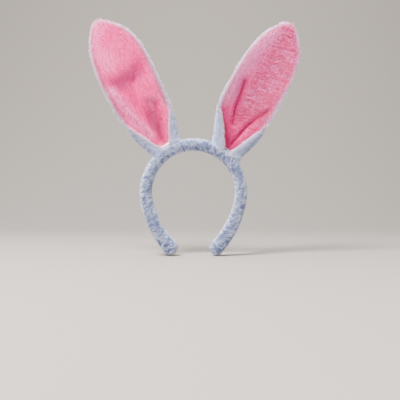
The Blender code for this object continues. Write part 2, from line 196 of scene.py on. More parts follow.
stretches = {"crown": (-FLEX_RUN + FLEX_HALF, FLEX_RUN - FLEX_HALF),
             "left_arm": (-FLEX_RUN + FLEX_HALF, -SLEEVE_END),
             "right_arm": (FLEX_RUN - FLEX_HALF, SLEEVE_END)}
foam_finish = colour_spots(new_finish("soft_foam", 0.95), (0.70, 0.70, 0.64), (0.82, 0.82, 0.77),
                           0.004, raised=(0.0007, 0.0003))
for part, (start, end) in stretches.items():
    foam = tube("foam_wrap_" + part, np.linspace(start, end, 48), 32,
                lambda run: (half_thickness(run) - 0.0042, 0.0068 + 0 * run),
                lambda run: (0.0016 + 0 * run, 0.0052 + 0 * run), foam_finish)
    bend_with_leg(foam, part)
    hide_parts("padding_" + part)


# ---- Plush sleeve ----
# White plush with a faint blue cast, cut as one strip, wrapped round the foam and sewn shut
# along its inner back. Its pile stands up in small wavy clumps that part across the hoop.

SLEEVE_PILE = 0.0034
SLEEVE_DEPTH = 0.0110
SLEEVE_ROUND = 0.0085             # mean radius of the sleeve, for lengths round it
TUFT_WIDTH = 0.00026              # of a tuft at its root
# The white pile's colour runs from painted shade down between the clumps to a painted highlight on
# their crests.
PLUSH_PAINTED_SHADE = np.array([0.20, 0.25, 0.52])      # down between the clumps
PLUSH_PAINTED_HIGHLIGHT = np.array([0.77, 0.84, 1.0])     # on their crests


def mottle(u, v, size_u, size_v, seed):
    """Soft random value from -1 to 1 over a surface, in spots of the given sizes."""
    table = np.random.default_rng(seed).uniform(-1, 1, (256, 256))
    a, b = u / size_u + 97, v / size_v + 53
    i, j = np.floor(a).astype(int), np.floor(b).astype(int)
    f, g = a - i, b - j
    f, g = f * f * (3 - 2 * f), g * g * (3 - 2 * g)
    low = table[i % 256, j % 256] * (1 - f) + table[(i + 1) % 256, j % 256] * f
    high = table[i % 256, (j + 1) % 256] * (1 - f) + table[(i + 1) % 256, (j + 1) % 256] * f
    return low * (1 - g) + high * g


def clumps(u, v, size_u, size_v, seed):
    """Height of wavy clumps from -1 to 1, and the push of the pile towards them along u and v."""
    def height(p, q):
        wave_p = p + size_u * 0.9 * mottle(p, q, size_v * 0.9, size_v * 0.9, seed + 1)
        wave_q = q + size_v * 0.4 * mottle(p, q, size_v, size_v, seed + 2)
        return (0.65 * mottle(wave_p, wave_q, size_u, size_v, seed)
                + 0.35 * mottle(wave_p, wave_q, size_u * 0.55, size_v * 0.6, seed + 3))
    step = size_u * 0.2
    slope_u = (height(u + step, v) - height(u - step, v)) / (2 * step)
    slope_v = (height(u, v + step) - height(u, v - step)) / (2 * step)
    return height(u, v), slope_u * size_u, slope_v * size_u


def add_tuft():
    """One curved tuft of pile, a slim three-sided spike one unit tall, for the pile to repeat."""
    points, rise, side, faces = [], [], [], []
    for height, width, bow in ((0.0, 1.0, 0.0), (0.55, 0.82, 1.1)):
        for k in range(3):
            turn = 2 * math.pi * k / 3
            points.append((bow + width * math.cos(turn), width * math.sin(turn), height))
            rise.append(height)
            side.append(k / 2)
    points.append((0.3, 0.0, 1.0))
    rise.append(1.0)
    side.append(0.5)
    for k in range(3):
        n = (k + 1) % 3
        faces += [(k, n, 3 + n), (k, 3 + n, 3 + k), (3 + k, 3 + n, 6)]
    tuft = mesh_of("tuft", points, faces, None)
    for name, values in (("rise", rise), ("side", side)):
        tuft.data.attributes.new(name, "FLOAT", "POINT").data.foreach_set("value", values)
    return tuft


def new_tree(name, result, **sockets):
    """Geometry node tree with named inputs, the sockets of its inputs, and its adder."""
    tree = bpy.data.node_groups.new(name, "GeometryNodeTree")
    for socket, kind in sockets.items():
        tree.interface.new_socket(socket, in_out="INPUT", socket_type="NodeSocket" + kind)
    tree.interface.new_socket(result, in_out="OUTPUT", socket_type="NodeSocketGeometry")
    return tree, tree.nodes.new("NodeGroupInput").outputs, adder(tree)


def held(add, name, kind="FLOAT"):
    """What a mesh holds under a name."""
    return add("GeometryNodeInputNamedAttribute", [("data_type", kind)],
               Name=name).outputs["Attribute"]


def mesh_from_tree(name, guide, tree, **wanted):
    """Plain mesh that a node tree makes of a guide, which isn't kept."""
    modifier = guide.modifiers.new(tree.name, "NODES")
    modifier.node_group = tree
    for item in tree.interface.items_tree:
        if item.name in wanted:
            modifier[item.identifier] = wanted[item.name]
    bpy.context.view_layer.update()
    ready = guide.evaluated_get(bpy.context.evaluated_depsgraph_get())
    piece = bpy.data.objects.new(name, bpy.data.meshes.new_from_object(ready))
    piece.data.name = name
    bpy.context.scene.collection.objects.link(piece)
    bpy.data.objects.remove(guide)
    return piece


def build_pile_tree():
    """Tufts over a backing that holds each place's lean (the way to a tuft's tip) and tone."""
    tree, given, add = new_tree("plush_pile", "Pile", Backing="Geometry", Density="Float",
                                Thickness="Float", Unevenness="Float", Seed="Int",
                                Tuft="Object", Finish="Material")

    def maths(operation, *values):
        named = {"_%d" % i: value for i, value in enumerate(values)}
        return add("ShaderNodeMath", [("operation", operation)], **named).outputs[0]

    def keep(geometry, name, kind, domain, value):
        return add("GeometryNodeStoreNamedAttribute", [("data_type", kind), ("domain", domain)],
                   Geometry=geometry, Name=name, Value=value).outputs["Geometry"]

    def chance(kind, low, high, salt):
        seed = maths("ADD", given["Seed"], salt)
        first = {"FLOAT": 2, "FLOAT_VECTOR": 0}[kind]
        limits = {"_%d" % first: low, "_%d" % (first + 1): high}
        node = add("FunctionNodeRandomValue", [("data_type", kind)], Seed=seed, **limits)
        return next(o for o in node.outputs if o.enabled)

    spread = add("GeometryNodeDistributePointsOnFaces", [("distribute_method", "RANDOM")],
                 Mesh=given["Backing"], Density=given["Density"], Seed=given["Seed"])
    lean = held(add, "lean", "FLOAT_VECTOR")
    length = add("ShaderNodeVectorMath", [("operation", "LENGTH")], _0=lean).outputs["Value"]
    stray = add("ShaderNodeVectorMath", [("operation", "SCALE")],
                _0=chance("FLOAT_VECTOR", (-1, -1, -1), (1, 1, 1), 1),
                Scale=maths("MULTIPLY", length, given["Unevenness"])).outputs["Vector"]
    way = add("ShaderNodeVectorMath", [("operation", "ADD")], _0=lean, _1=stray).outputs["Vector"]
    turn = add("FunctionNodeAxesToRotation", [("primary_axis", "Z"), ("secondary_axis", "X")],
               _0=way, _1=spread.outputs["Normal"]).outputs["Rotation"]
    tall = maths("MULTIPLY", length, chance("FLOAT", 0.78, 1.12, 2))
    wide = maths("MULTIPLY", given["Thickness"], chance("FLOAT", 0.8, 1.2, 3))
    size = add("ShaderNodeCombineXYZ", X=wide, Y=wide, Z=tall).outputs["Vector"]
    shape = add("GeometryNodeObjectInfo", Object=given["Tuft"]).outputs["Geometry"]
    tufts = add("GeometryNodeInstanceOnPoints", Points=spread.outputs["Points"], Instance=shape,
                Rotation=turn, Scale=size).outputs["Instances"]
    number = add("GeometryNodeInputIndex").outputs["Index"]
    tufts = keep(tufts, "cell", "FLOAT", "INSTANCE", number)
    tufts = keep(tufts, "shade", "FLOAT", "INSTANCE", chance("FLOAT", 0.86, 1.1, 4))
    count = add("GeometryNodeAttributeDomainSize", [("component", "INSTANCES")],
                Geometry=tufts).outputs["Instance Count"]
    across = maths("CEIL", maths("SQRT", count))
    whole = add("GeometryNodeRealizeInstances", Geometry=tufts).outputs["Geometry"]
    cell = maths("ADD", held(add, "cell"), 0.5)
    row = maths("FLOOR", maths("DIVIDE", cell, across))
    column = maths("FLOOR", maths("SUBTRACT", cell, maths("MULTIPLY", row, across)))
    within = [maths("MULTIPLY_ADD", held(add, name), 0.7, 0.15) for name in ("side", "rise")]
    place = [maths("DIVIDE", maths("ADD", start, inset), across)
             for start, inset in zip((column, row), within)]
    flat = add("ShaderNodeCombineXYZ", X=place[0], Y=place[1]).outputs["Vector"]
    whole = keep(whole, "OFBake", "FLOAT2", "CORNER", flat)
    for name in ("cell", "side", "lean"):
        whole = add("GeometryNodeRemoveAttribute", Geometry=whole, Name=name).outputs["Geometry"]
    done = add("GeometryNodeSetMaterial", Geometry=whole, Material=given["Finish"])
    add("NodeGroupOutput", Pile=done.outputs["Geometry"])
    return tree


def pile_finish(name, root_shade, sheen):
    """Pile in the tone of its place, with painted shade, a deeper colour, down at the roots."""
    finish, shader, add = new_finish(name, 0.88, Sheen_Weight=sheen, Sheen_Roughness=0.45,
                                     Specular_IOR_Level=0.25)
    rise, tone, shade = (add("ShaderNodeAttribute", [("attribute_name", kind)]).outputs
                         for kind in ("rise", "tone", "shade"))
    ease = add("ShaderNodeMapRange", [("interpolation_type", "SMOOTHSTEP")], From_Max=0.75,
               Value=rise["Fac"])
    colour = [("data_type", "RGBA")]
    last = add("ShaderNodeMix", colour, A=(*root_shade, 1), B=(1, 1, 1, 1),
               Factor=ease.outputs["Result"]).outputs["Result"]
    for other in (tone["Color"], shade["Fac"]):
        last = add("ShaderNodeMix", colour + [("blend_type", "MULTIPLY")], Factor=1, A=last,
                   B=other).outputs["Result"]
    finish.node_tree.links.new(last, shader.inputs["Base Color"])
    return finish


tuft = add_tuft()
pile_tree = build_pile_tree()


def grow_pile(name, backing, lean, tone, finish, density, unevenness, seed):
    """Plain mesh of tufts over a fine backing, which is only a guide and isn't kept."""
    mesh = backing.data
    mesh.attributes.new("lean", "FLOAT_VECTOR", "POINT").data.foreach_set("vector", lean.ravel())
    full = np.concatenate([tone, np.ones((len(tone), 1))], 1)
    mesh.attributes.new("tone", "FLOAT_COLOR", "POINT").data.foreach_set("color", full.ravel())
    return mesh_from_tree(name, backing, pile_tree, Seed=seed, Tuft=tuft, Finish=finish,
                          Density=density * 1.0,
                          Thickness=TUFT_WIDTH * 1.0,
                          Unevenness=unevenness)


def plush_shade_and_highlight(bright):
    """Colour of white pile, from painted shade down between the clumps at 0 to a painted highlight
    on their crests at 1.
    """
    bright = np.clip(bright, 0, 1)[:, None]
    return (1 - bright) * PLUSH_PAINTED_SHADE + bright * PLUSH_PAINTED_HIGHLIGHT


def pile_guide(name, points, faces):
    """Fine backing for the pile to grow from, and its normals."""
    guide = mesh_of(name + "_guide", points, faces, None)
    found = np.zeros(len(guide.data.vertices) * 3, np.float32)
    guide.data.vertex_normals.foreach_get("vector", found)
    return guide, found.reshape(-1, 3).astype(float)


SEAM_AROUND = math.radians(135)   # place of the closing seam, on the inner back of the sleeve


def sleeve_pile(name, runs, around, points, faces, seed):
    """Pile of a stretch of sleeve, from the grids of its backing."""
    guide, normal = pile_guide(name, points, faces)
    outward = hoop_at(runs)[1]
    along = np.cross(BACKWARD, outward).reshape(-1, 3)
    runs, around, outward = runs.ravel(), around.ravel(), outward.reshape(-1, 3)
    round_way = np.cross(along, normal)
    arc = around * SLEEVE_ROUND
    height, push_run, push_arc = clumps(runs + 0.25 * arc, arc, 0.0014, 0.0032, seed)
    broad = mottle(runs, arc, 0.012, 0.012, seed + 7)
    seam = np.abs(around - SEAM_AROUND) % (2 * math.pi) * SLEEVE_ROUND
    seam = np.exp(-(seam / 0.0016) ** 2)
    tall = SLEEVE_PILE * (0.86 + 0.30 * height + 0.06 * broad) * (1 - 0.5 * seam)
    lean = (normal * tall[:, None]
            + along * (SLEEVE_PILE * 0.42 * push_run)[:, None]
            + round_way * (SLEEVE_PILE * (0.25 * push_arc + 0.15 * broad))[:, None])
    # Painted shade between the clumps and painted highlights on their crests, with a broad random
    # tone.
    tone = plush_shade_and_highlight(0.50 + 1.7 * height + 0.15 * broad)
    return grow_pile(name, guide, lean, tone, white_pile, 3.4e6, 0.38, seed)


# Painted shade at the roots: the white pile is a darker blue-grey low down, and its backing is
# painted a dark blue-grey, well below the white of the cloth, as shade under the pile.
white_pile = pile_finish("white_pile", (0.55, 0.58, 0.70), 0.3)
shaded_white_backing = colour_spots(new_finish("shaded_white_backing", 0.95), (0.30, 0.33, 0.46),
                             (0.50, 0.54, 0.68), 0.002, raised=(0.0006, 0.0002))


def skin_size(run):
    return half_thickness(run) - SLEEVE_PILE + 0.0002, SLEEVE_DEPTH - SLEEVE_PILE + 0.0002 + 0 * run


for number, (part, (start, end)) in enumerate(stretches.items()):
    skin = tube("sleeve_backing_" + part, np.linspace(start, end, 64), 40, skin_size,
                lambda run: tuple(size - 0.0006 for size in skin_size(run)), shaded_white_backing)
    runs, around = np.meshgrid(np.linspace(start, end, 190), np.arange(72) * math.pi / 36,
                               indexing="ij")
    points = round_hoop(runs, around, *skin_size(runs))
    pile = sleeve_pile("sleeve_pile_" + part, runs, around, points,
                       sheet_faces(190, 72, ring=True, flip=end > start), 11 + number)
    for piece in (skin, pile):
        bend_with_leg(piece, part)
    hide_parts("sleeve_" + part)


# ---- Closing seam of the sleeve ----
# The sleeve's edges meet along its inner back and are closed by hand with slanting stitches
# of white thread, which sit low between the tufts.

thread_finish = colour_spots(new_finish("white_thread", 0.6, Sheen_Weight=0.3),
                             (0.66, 0.68, 0.76), (0.84, 0.86, 0.92), 0.0009,
                             raised=(0.00025, 0.00005))


def build_stitch_tree():
    """Slanting stitches at even steps along a seam, each a short thread that dips at its ends."""
    tree, given, add = new_tree("seam_stitches", "Stitches", Seam="Geometry", Step="Float",
                                Thread="Float", Reach="Float", Finish="Material")
    path = add("GeometryNodeMeshToCurve", Mesh=given["Seam"]).outputs["Curve"]
    spots = add("GeometryNodeCurveToPoints", [("mode", "LENGTH")], Curve=path,
                Length=given["Step"]).outputs["Points"]
    arc = add("GeometryNodeCurveArc", Resolution=7, Radius=given["Reach"],
              Sweep_Angle=math.radians(150), Start_Angle=math.radians(15)).outputs["Curve"]
    section = add("GeometryNodeCurvePrimitiveCircle", Resolution=6,
                  Radius=given["Thread"]).outputs["Curve"]
    thread = add("GeometryNodeCurveToMesh", Fill_Caps=True, Curve=arc,
                 Profile_Curve=section).outputs["Mesh"]
    turn = add("FunctionNodeAxesToRotation", [("primary_axis", "Y"), ("secondary_axis", "X")],
               _0=held(add, "upright", "FLOAT_VECTOR"),
               _1=held(add, "across", "FLOAT_VECTOR")).outputs["Rotation"]
    put = add("GeometryNodeInstanceOnPoints", Points=spots, Instance=thread, Rotation=turn)
    whole = add("GeometryNodeRealizeInstances", Geometry=put.outputs["Instances"])
    done = add("GeometryNodeSetMaterial", Geometry=whole.outputs["Geometry"],
               Material=given["Finish"])
    add("NodeGroupOutput", Stitches=done.outputs["Geometry"])
    return tree


stitch_tree = build_stitch_tree()


def sew(name, path, upright, across, step, thread, reach):
    """Row of stitches along a path, as a plain mesh."""
    seam = mesh_of(name + "_guide", path, [], None, smooth=False)
    seam.data.edges.add(len(path) - 1)
    for k, edge in enumerate(seam.data.edges):
        edge.vertices = (k, k + 1)
    for key, values in (("upright", upright), ("across", across)):
        seam.data.attributes.new(key, "FLOAT_VECTOR", "POINT").data.foreach_set(
            "vector", np.asarray(values, float).ravel())
    return mesh_from_tree(name, seam, stitch_tree, Step=step, Thread=thread, Reach=reach,
                          Finish=thread_finish)


for part, (start, end) in stretches.items():
    runs = np.linspace(start, end, 60)
    thick, depth = skin_size(runs)
    line = round_hoop(runs, SEAM_AROUND + 0 * runs, thick + 0.0001, depth + 0.0001)
    outward = hoop_at(runs)[1]
    upright = outward * math.cos(SEAM_AROUND) + BACKWARD * math.sin(SEAM_AROUND)
    along = np.cross(BACKWARD, outward)
    across = np.cross(upright, along) + 0.5 * along
    seam = sew("sleeve_seam_stitches_" + part, line, upright, across, 0.0034, 0.00022, 0.0012)
    bend_with_leg(seam, part)
    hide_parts("sleeve_seam_" + part)


# ---- Rounded ends of the legs ----
# Each end of the sleeve is gathered and turned in over the tip of the strip, and the pile
# there spreads into a soft round bud.

for number, (part, side) in enumerate((("left_arm", -1), ("right_arm", 1))):
    for kind, turns, sides in (("backing", np.linspace(0, math.pi / 2, 9), 40),
                               ("pile", np.linspace(0, math.pi / 2, 18), 60)):
        turn, around = np.meshgrid(turns, np.arange(sides) * 2 * math.pi / sides, indexing="ij")
        thick, depth = (float(size) for size in skin_size(SLEEVE_END))
        runs = side * (SLEEVE_END + (0.0070 - 0.0026) * np.sin(turn))
        shrink = np.maximum(np.cos(turn), 0.02)
        points = round_hoop(runs, around, thick * shrink, depth * shrink)
        faces = sheet_faces(len(turns), sides, ring=True, flip=side > 0)
        last = (len(turns) - 1) * sides
        cap = list(range(last, last + sides))
        faces.append(cap if side < 0 else cap[::-1])
        if kind == "backing":
            base = list(range(sides))
            faces.append(base[::-1] if side < 0 else base)
            skin = mesh_of("tip_backing_" + part, points, faces, shaded_white_backing)
        else:
            guide, normal = pile_guide("tip_" + part, points, faces)
            u, v = turn.ravel() * 0.008, around.ravel() * 0.008
            height, push_u, push_v = clumps(u, v, 0.0022, 0.0045, 41 + number)
            ahead = side * np.cross(BACKWARD, hoop_at(runs)[1]).reshape(-1, 3)
            tall = 0.0031 * (0.9 + 0.14 * height)
            lean = normal * tall[:, None] + ahead * (0.0006 + 0.0006 * push_u)[:, None]
            # The bud's pile has painted shade between its clumps and painted highlights on their
            # crests.
            pile = grow_pile("tip_pile_" + part, guide, lean, plush_shade_and_highlight(0.5 + 0.9 * height),
                             white_pile, 3.4e6, 0.25, 43 + number)
    for piece in (skin, pile):
        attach(piece, part)
    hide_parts("tip_cap_" + part)


# ---- Ears: shape ----
# Each ear is a long leaf, cut once in pink plush for its front and once in white plush for its
# back, sewn round its rim and turned. At its foot it is gathered and rolled into a white horn.

EAR_FOOT = 0.0678                 # from the hoop's centre to the foot of an ear
EAR_BACK = 0.0105                 # how far behind the hoop's middle the backs lie
EAR_PILE = 0.0030
EAR_CORE = 0.0026                 # wire and batting between the two backings
RIM_PILE = 0.0033
TIP_PILE = 0.0030                 # from the end of the backings to the ear's tip
SPLIT_RUN = 0.0600                # where the lower pieces of an ear's cover meet the upper ones


def along_stations(stations, share):
    """Value at a share of an ear's length, on a smooth curve through the stations."""
    x, y = np.array(stations).T
    slope = np.diff(y) / np.diff(x)
    inner = np.where(slope[:-1] * slope[1:] > 0, (slope[:-1] + slope[1:]) / 2, 0)
    tangent = np.concatenate([slope[:1], inner, slope[-1:]])
    share = np.clip(share, x[0], x[-1])
    at = np.clip(np.searchsorted(x, share, side="right") - 1, 0, len(slope) - 1)
    step = np.diff(x)[at]
    t = (share - x[at]) / step
    return ((2 * t**3 - 3 * t**2 + 1) * y[at] + (t**3 - 2 * t**2 + t) * step * tangent[at]
            + (3 * t**2 - 2 * t**3) * y[at + 1] + (t**3 - t**2) * step * tangent[at + 1])


def near_line(s, x, line, width):
    """1 on a line of (x, s) points in millimetres, fading to 0 over about its width."""
    best = np.full(np.shape(s), 1e9)
    for (x0, s0), (x1, s1) in zip(line, line[1:]):
        dx, ds = x1 - x0, s1 - s0
        t = np.clip(((x * 1000 - x0) * dx + (s * 1000 - s0) * ds) / (dx * dx + ds * ds), 0, 1)
        best = np.minimum(best, np.hypot(x * 1000 - x0 - t * dx, s * 1000 - s0 - t * ds))
    return np.exp(-(best / width) ** 2)


class PlushEar:
    """s runs up the ear from the sleeve, across from -1 to 1 between its rims, level backwards
    from the tips of the pink pile. The stations go by share of length: outline is a share of
    the width, curl half the angle that the sheet is rolled through, hollow the depth of the
    roll, sway and opening the sideways shift of the whole sheet and of its folded rims.
    Creases, tints of painted shade and highlight, and rough places follow lines of (x, s) points in
    millimetres."""

    def __init__(self, seat, lean, length, width, outline, curl, hollow, sway, opening, creases,
                 tints, rough):
        self.length, self.width, self.creases = length, width, creases
        self.tints, self.rough = tints, rough
        self.outline, self.curl, self.hollow = outline, curl, hollow
        self.sway, self.opening = sway, opening
        self.seat, lean = math.radians(seat), math.radians(lean)
        self.base = np.array([math.sin(self.seat), 0, math.cos(self.seat)]) * EAR_FOOT
        self.base[2] += HOOP_MIDDLE
        self.up = np.array([math.sin(lean), 0, math.cos(lean)])
        self.right = np.array([math.cos(lean), 0, -math.sin(lean)])

    def panel(self, s):
        return EAR_PILE * (0.55 + 0.45 * np.clip(s / (0.35 * self.length), 0, 1))

    def half_width(self, s):
        return along_stations(self.outline, s / self.length) * self.width / 2

    def section(self, s):
        """Curl, the two radii of the rolled sheet, its reach over the curl at the pace it has by
        the rim, and its whole thickness. The radii bring the tips of the pile to the outline."""
        share = s / self.length
        curl = along_stations(self.curl, share)
        total = 2 * self.panel(s) + EAR_CORE
        deep = along_stations(self.hollow, share) / (1 - np.cos(curl))
        half = self.half_width(s)
        wide = half / np.sin(np.minimum(curl, math.pi / 2))
        for _ in range(8):
            pace = np.hypot(wide * np.cos(curl), deep * np.sin(curl))
            lip = np.clip(curl - RIM_PILE / pace, 0.3 * curl, math.pi / 2)
            swollen = np.clip(curl - 0.0050 / pace, 0.2 * curl, math.pi / 2)
            tips = total / 2 * np.sin(lip) + 0.8 * RIM_PILE * np.cos(lip)
            fit = np.minimum((half - tips) / np.sin(lip), half / np.sin(swollen) - total)
            wide = (wide + np.maximum(fit, half / 4)) / 2
        arc = curl * np.hypot(wide * np.cos(curl), deep * np.sin(curl))
        return curl, wide, deep, arc, total

    def edge(self, s):
        """Share across at which the backings end, so that the pile reaches the rim."""
        stretched = np.minimum(s * self.length / (self.length - TIP_PILE), self.length)
        return np.maximum(self.section(stretched)[3] - RIM_PILE, 0) / self.section(s)[3]

    def local(self, s, across, level):
        """x and y in the ear's own frame."""
        curl, wide, deep, _, total = self.section(s)
        turn = across * curl
        out_x, out_y = np.sin(turn) / wide, np.cos(turn) / deep
        norm = np.hypot(out_x, out_y)
        x = wide * np.sin(turn) + level * out_x / norm
        y = EAR_BACK - total - deep * (1 - np.cos(turn)) + level * out_y / norm
        folded = np.clip((np.abs(turn) - 1.2) / 0.6, 0, 1)
        x += (along_stations(self.sway, s / self.length)
              + along_stations(self.opening, s / self.length) * folded)
        return x, y

    def foot(self, across):
        """s at which the cloth meets the sleeve, lower towards the rims and the back."""
        start = np.full(np.shape(across), 0.0010)
        x, y = self.local(start, across, self.section(start)[4] / 2)
        seat = self.base - np.array([0, 0, HOOP_MIDDLE])
        round_sleeve = np.sqrt(np.clip(1 - (y / SLEEVE_DEPTH) ** 2, 0.04, 1))
        reach = HOOP_RADIUS + 0.0083 * round_sleeve - 0.0016
        forward = self.up @ seat + x * (self.up @ self.right)
        away = seat @ seat + 2 * x * (self.right @ seat) + x**2 - reach**2
        return np.clip(np.sqrt(np.maximum(forward**2 - away, 0)) - forward, -0.0130, 0.0)

    def rimward(self, s, across):
        """Way along the cloth to the nearest rim."""
        curl, wide, deep = self.section(s)[:3]
        step, side, turn = 0.0006, np.where(across < 0, -1.0, 1.0), across * curl
        reach = [self.half_width(at) for at in (s - step, s + step)]
        over = np.stack([side * wide * np.cos(turn), -side * deep * np.sin(turn)], -1)
        over /= np.linalg.norm(over, axis=-1, keepdims=True)
        rising = np.clip((reach[0] - reach[1]) / (2 * step), -0.5, 6)[..., None]
        way = over[..., :1] * self.right + over[..., 1:] * BACKWARD + rising * self.up
        return way / np.linalg.norm(way, axis=-1, keepdims=True)

    def dent(self, s, x):
        """How far the creases press the cloth back."""
        total = 0 * s
        for line, width, depth in self.creases:
            total = total + depth * near_line(s, x, line, width)
        return total

    def skin(self, s, across, face):
        """Points on the pink backing (face -1), on the white one (1) or between them, with x and
        the distance from the rim, where the two backings meet."""
        arc, total = self.section(s)[3:]
        tip = self.length - TIP_PILE
        inside = np.minimum((self.edge(s) - np.abs(across)) * arc, (tip - s) * 0.8)
        swell = np.sqrt(1 - (1 - np.clip(inside / 0.0035, 0, 1)) ** 2)
        middle = total / 2
        level = middle + face * swell * EAR_CORE / 2
        x, y = self.local(s, across, level)
        fade = np.clip(inside / 0.006, 0, 1)
        y = y + self.dent(s, x) * fade * (0.9 - 0.1 * face)
        return (self.base + s[..., None] * self.up + x[..., None] * self.right
                + y[..., None] * BACKWARD), x, inside


def ear_grid(ear, low, high, rows, columns, front, seam=0.0010):
    """Grids of s, across, points, x and distance from the rim, of part of one backing.
    The white backing turns the rim and ends at the seam on the front."""
    tip = ear.length - TIP_PILE
    if high is None:
        lines = low + (tip - low) * np.sin(np.linspace(0, math.pi / 2, rows))
    else:
        lines = np.linspace(low, high, rows)
    t = np.sin(np.linspace(-math.pi / 2, math.pi / 2, columns))
    edge, arc = ear.edge(lines), ear.section(lines)[3]
    sewn = np.maximum(edge - seam / arc, 0)

    def stretch(across, face):
        s = lines[:, None] + 0 * across
        if high is not None:
            lowest = ear.foot(across[:1])
            s = lowest + (high - lowest) * (s - low) / (high - low)
        return (s, across) + ear.skin(s, across, face)

    if front:
        return stretch(t * sewn[:, None], -1)
    wrap = np.linspace(0, 1, 4)[1:]
    turned = edge[:, None] + (sewn - edge)[:, None] * wrap
    pieces = (stretch(-turned[:, ::-1], -1), stretch(t * edge[:, None], 1), stretch(turned, -1))
    return [np.concatenate(group, 1) for group in zip(*pieces)]


# ---- Ears: pile and backings ----
# The pink pile is brushed smooth on the left ear and left in crinkled waves on the right one; both
# carry painted shade, a deeper pink, down the creases and across the fold, and painted highlights, a
# paler pink, on the ridges. The white pile is fluffed out round the rim.

# Painted shade at the roots: the pink pile is darker low down, and its backing is painted a dark
# red, well below the pink of the cloth, as shade under the pile.
pink_pile = pile_finish("pink_pile", (0.80, 0.34, 0.52), 0.06)
shaded_pink_backing = colour_spots(new_finish("shaded_pink_backing", 0.95), (0.42, 0.07, 0.14),
                            (0.60, 0.14, 0.24), 0.002, raised=(0.0006, 0.0002))
batting_finish = colour_spots(new_finish("batting", 0.95), (0.74, 0.74, 0.74), (0.88, 0.88, 0.88),
                              0.003, raised=(0.0006, 0.0003))
wire_finish = colour_spots(new_finish("galvanised_wire", 0.35, Metallic=1.0), (0.42, 0.43, 0.45),
                           (0.62, 0.63, 0.65), 0.002, rough=(0.25, 0.5))

# Tints of painted light on the pink pile: the crimson, hot and shaded ones are painted shade, a
# deeper and more saturated pink, down the creases and across the fold, and hot also deepens a patch
# near the top of the left ear; the pale one is a painted highlight on the raised ridges and on the
# side of an ear towards the light; the greyed one greys two small spots.
HOT, CREASE_SHADE, SHADED = (0.86, 0.008, 0.26), (0.60, 0.004, 0.12), (0.38, 0.015, 0.12)
PALE_HIGHLIGHT, GREYED = (1.0, 0.36, 0.70), (0.30, 0.08, 0.14)

left_ear = PlushEar(
    -31.5, -29.2, 0.1810, 0.0710,
    [(0.0, 0.60), (0.11, 0.79), (0.22, 0.92), (0.30, 0.97), (0.45, 0.99), (0.58, 1.0),
     (0.69, 0.97), (0.80, 0.86), (0.88, 0.68), (0.94, 0.47), (0.965, 0.36), (0.985, 0.25),
     (1.0, 0.12)],
    [(0.0, 2.95), (0.03, 2.75), (0.15, 2.28), (0.22, 1.97), (0.27, 1.78), (0.34, 1.56),
     (0.45, 1.2), (0.60, 0.90), (0.80, 0.65), (1.0, 0.35)],
    [(0.0, 0.0090), (0.30, 0.0110), (0.45, 0.0130), (0.60, 0.0120), (0.80, 0.0080),
     (1.0, 0.0020)],
    [(0.0, -0.0010), (0.11, -0.0020), (0.28, -0.0012), (0.55, 0.0010), (0.76, 0.0030),
     (0.86, 0.0026), (1.0, 0.0006)],
    [(0.0, 0.0013), (0.15, 0.0022), (0.30, 0.0032), (0.42, 0.0), (1.0, 0.0)],
    [([(-4, 5), (-6.5, 20), (-3, 58), (6, 88)], 5.0, 0.0032),
     ([(-21, 97), (-5, 96), (10, 94), (22, 96)], 12.0, 0.0022),
     ([(1.5, 8), (6, 25), (11, 38), (17, 51)], 2.8, 0.0026),
     ([(-6.5, 15), (-16, 45), (-22, 60), (-25, 88)], 4.5, -0.0016)],
    [(PALE_HIGHLIGHT, [(-14, 120), (-14, 158), (-2, 172)], 12.0, 0.45),
     (HOT, [(-6, 148), (10, 156)], 9.0, 0.45),
     (HOT, [(-20, 96), (-4, 96), (14, 98), (26, 104)], 15.0, 0.6),
     (HOT, [(-7, 18), (-5, 30), (-1, 55), (-5, 72), (-9, 90)], 10.0, 0.95),
     (SHADED, [(-18, 96), (-2, 97), (14, 99)], 10.0, 0.55),
     (SHADED, [(-13, 93), (-3, 96)], 8.0, 0.5),
     (CREASE_SHADE, [(1, 6), (4, 19), (12, 38), (16.6, 50)], 4.0, 0.85),
     (GREYED, [(10, 60), (14, 57)], 4.5, 0.6),
     (GREYED, [(1, 28), (3, 46)], 5.0, 0.35),
     (PALE_HIGHLIGHT, [(-10, 20), (-14, 34), (-20, 57), (-26, 90)], 5.5, 0.65)],
    [([(1, 18), (4, 48)], 9.0, 0.7), ([(-13, 22), (-20, 57), (-26, 85)], 6.0, 0.4)])
